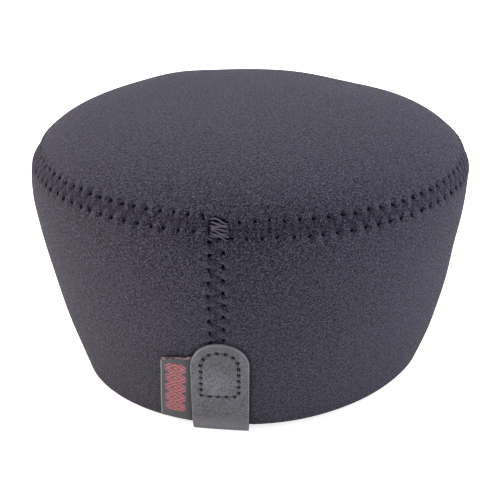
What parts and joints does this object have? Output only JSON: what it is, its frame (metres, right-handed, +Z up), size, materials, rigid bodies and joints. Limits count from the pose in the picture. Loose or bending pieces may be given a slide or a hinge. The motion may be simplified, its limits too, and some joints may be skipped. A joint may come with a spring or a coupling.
{
  "type": "soft lens cap",
  "caption": "Soft pull-over cap for the front of a large lens hood: a domed foam shell closed by zigzag seams, with a stitched pull tab wrapped round its rim and a small folded label.",
  "frame": {"origin": "on the cap's axis, at the level of the surface that it stands on: the underside of the pull tab's fold", "axes": "+Z up from the open mouth to the crown, -Y towards the pull tab and the side seam, +X to the right seen from there"},
  "size_m": [0.1526, 0.1532, 0.0955],
  "materials": {
    "jersey": "fine matt knit, charcoal with a faint violet cast",
    "foam": "closed-cell rubber foam, cut edge",
    "lining": "fine grippy grain",
    "stiffener": "thin matt sheet",
    "thread": "twisted polyester",
    "tab_leather": "fine grain, satin",
    "label_ribbon": "tight woven ribbon with red woven figures"
  },
  "bodies": {
    "cap_shell": {"crown_outer_jersey": "jersey", "crown_foam": "foam", "crown_stiffener": "stiffener", "crown_lining": "lining", "wall_outer_jersey": "jersey", "wall_foam": "foam", "wall_grip_lining": "lining", "crown_seam_thread": "thread", "crown_seam_bobbin_thread": "thread", "side_seam_thread": "thread", "side_seam_bobbin_thread": "thread", "bartack_thread": "thread"},
    "pull_tab": {"pull_tab": "tab_leather", "tab_stitch_thread": "thread", "tab_stitch_bobbin_thread": "thread", "label_tail": "label_ribbon"},
    "label": {"label_flap": "label_ribbon"}
  },
  "joints": [
    {"name": "pull_tab_hinge", "type": "hinge", "parent": "cap_shell", "child": "pull_tab", "pos_m": [-0.01135, -0.07166, 0.04916], "axis": [-0.9877, 0.1564, 0], "range_deg": [0, 11], "stiffness_Nm_per_rad": 0.15, "deforming": ["wall_outer_jersey", "wall_foam", "wall_grip_lining", "side_seam_thread", "side_seam_bobbin_thread"]},
    {"name": "label_hinge", "type": "hinge", "parent": "pull_tab", "child": "label", "pos_m": [-0.02132, -0.06373, 0.01702], "axis": [-0.0031, -0.2917, 0.9565], "range_deg": [0, 115], "stiffness_Nm_per_rad": 0.0003}
  ]
}
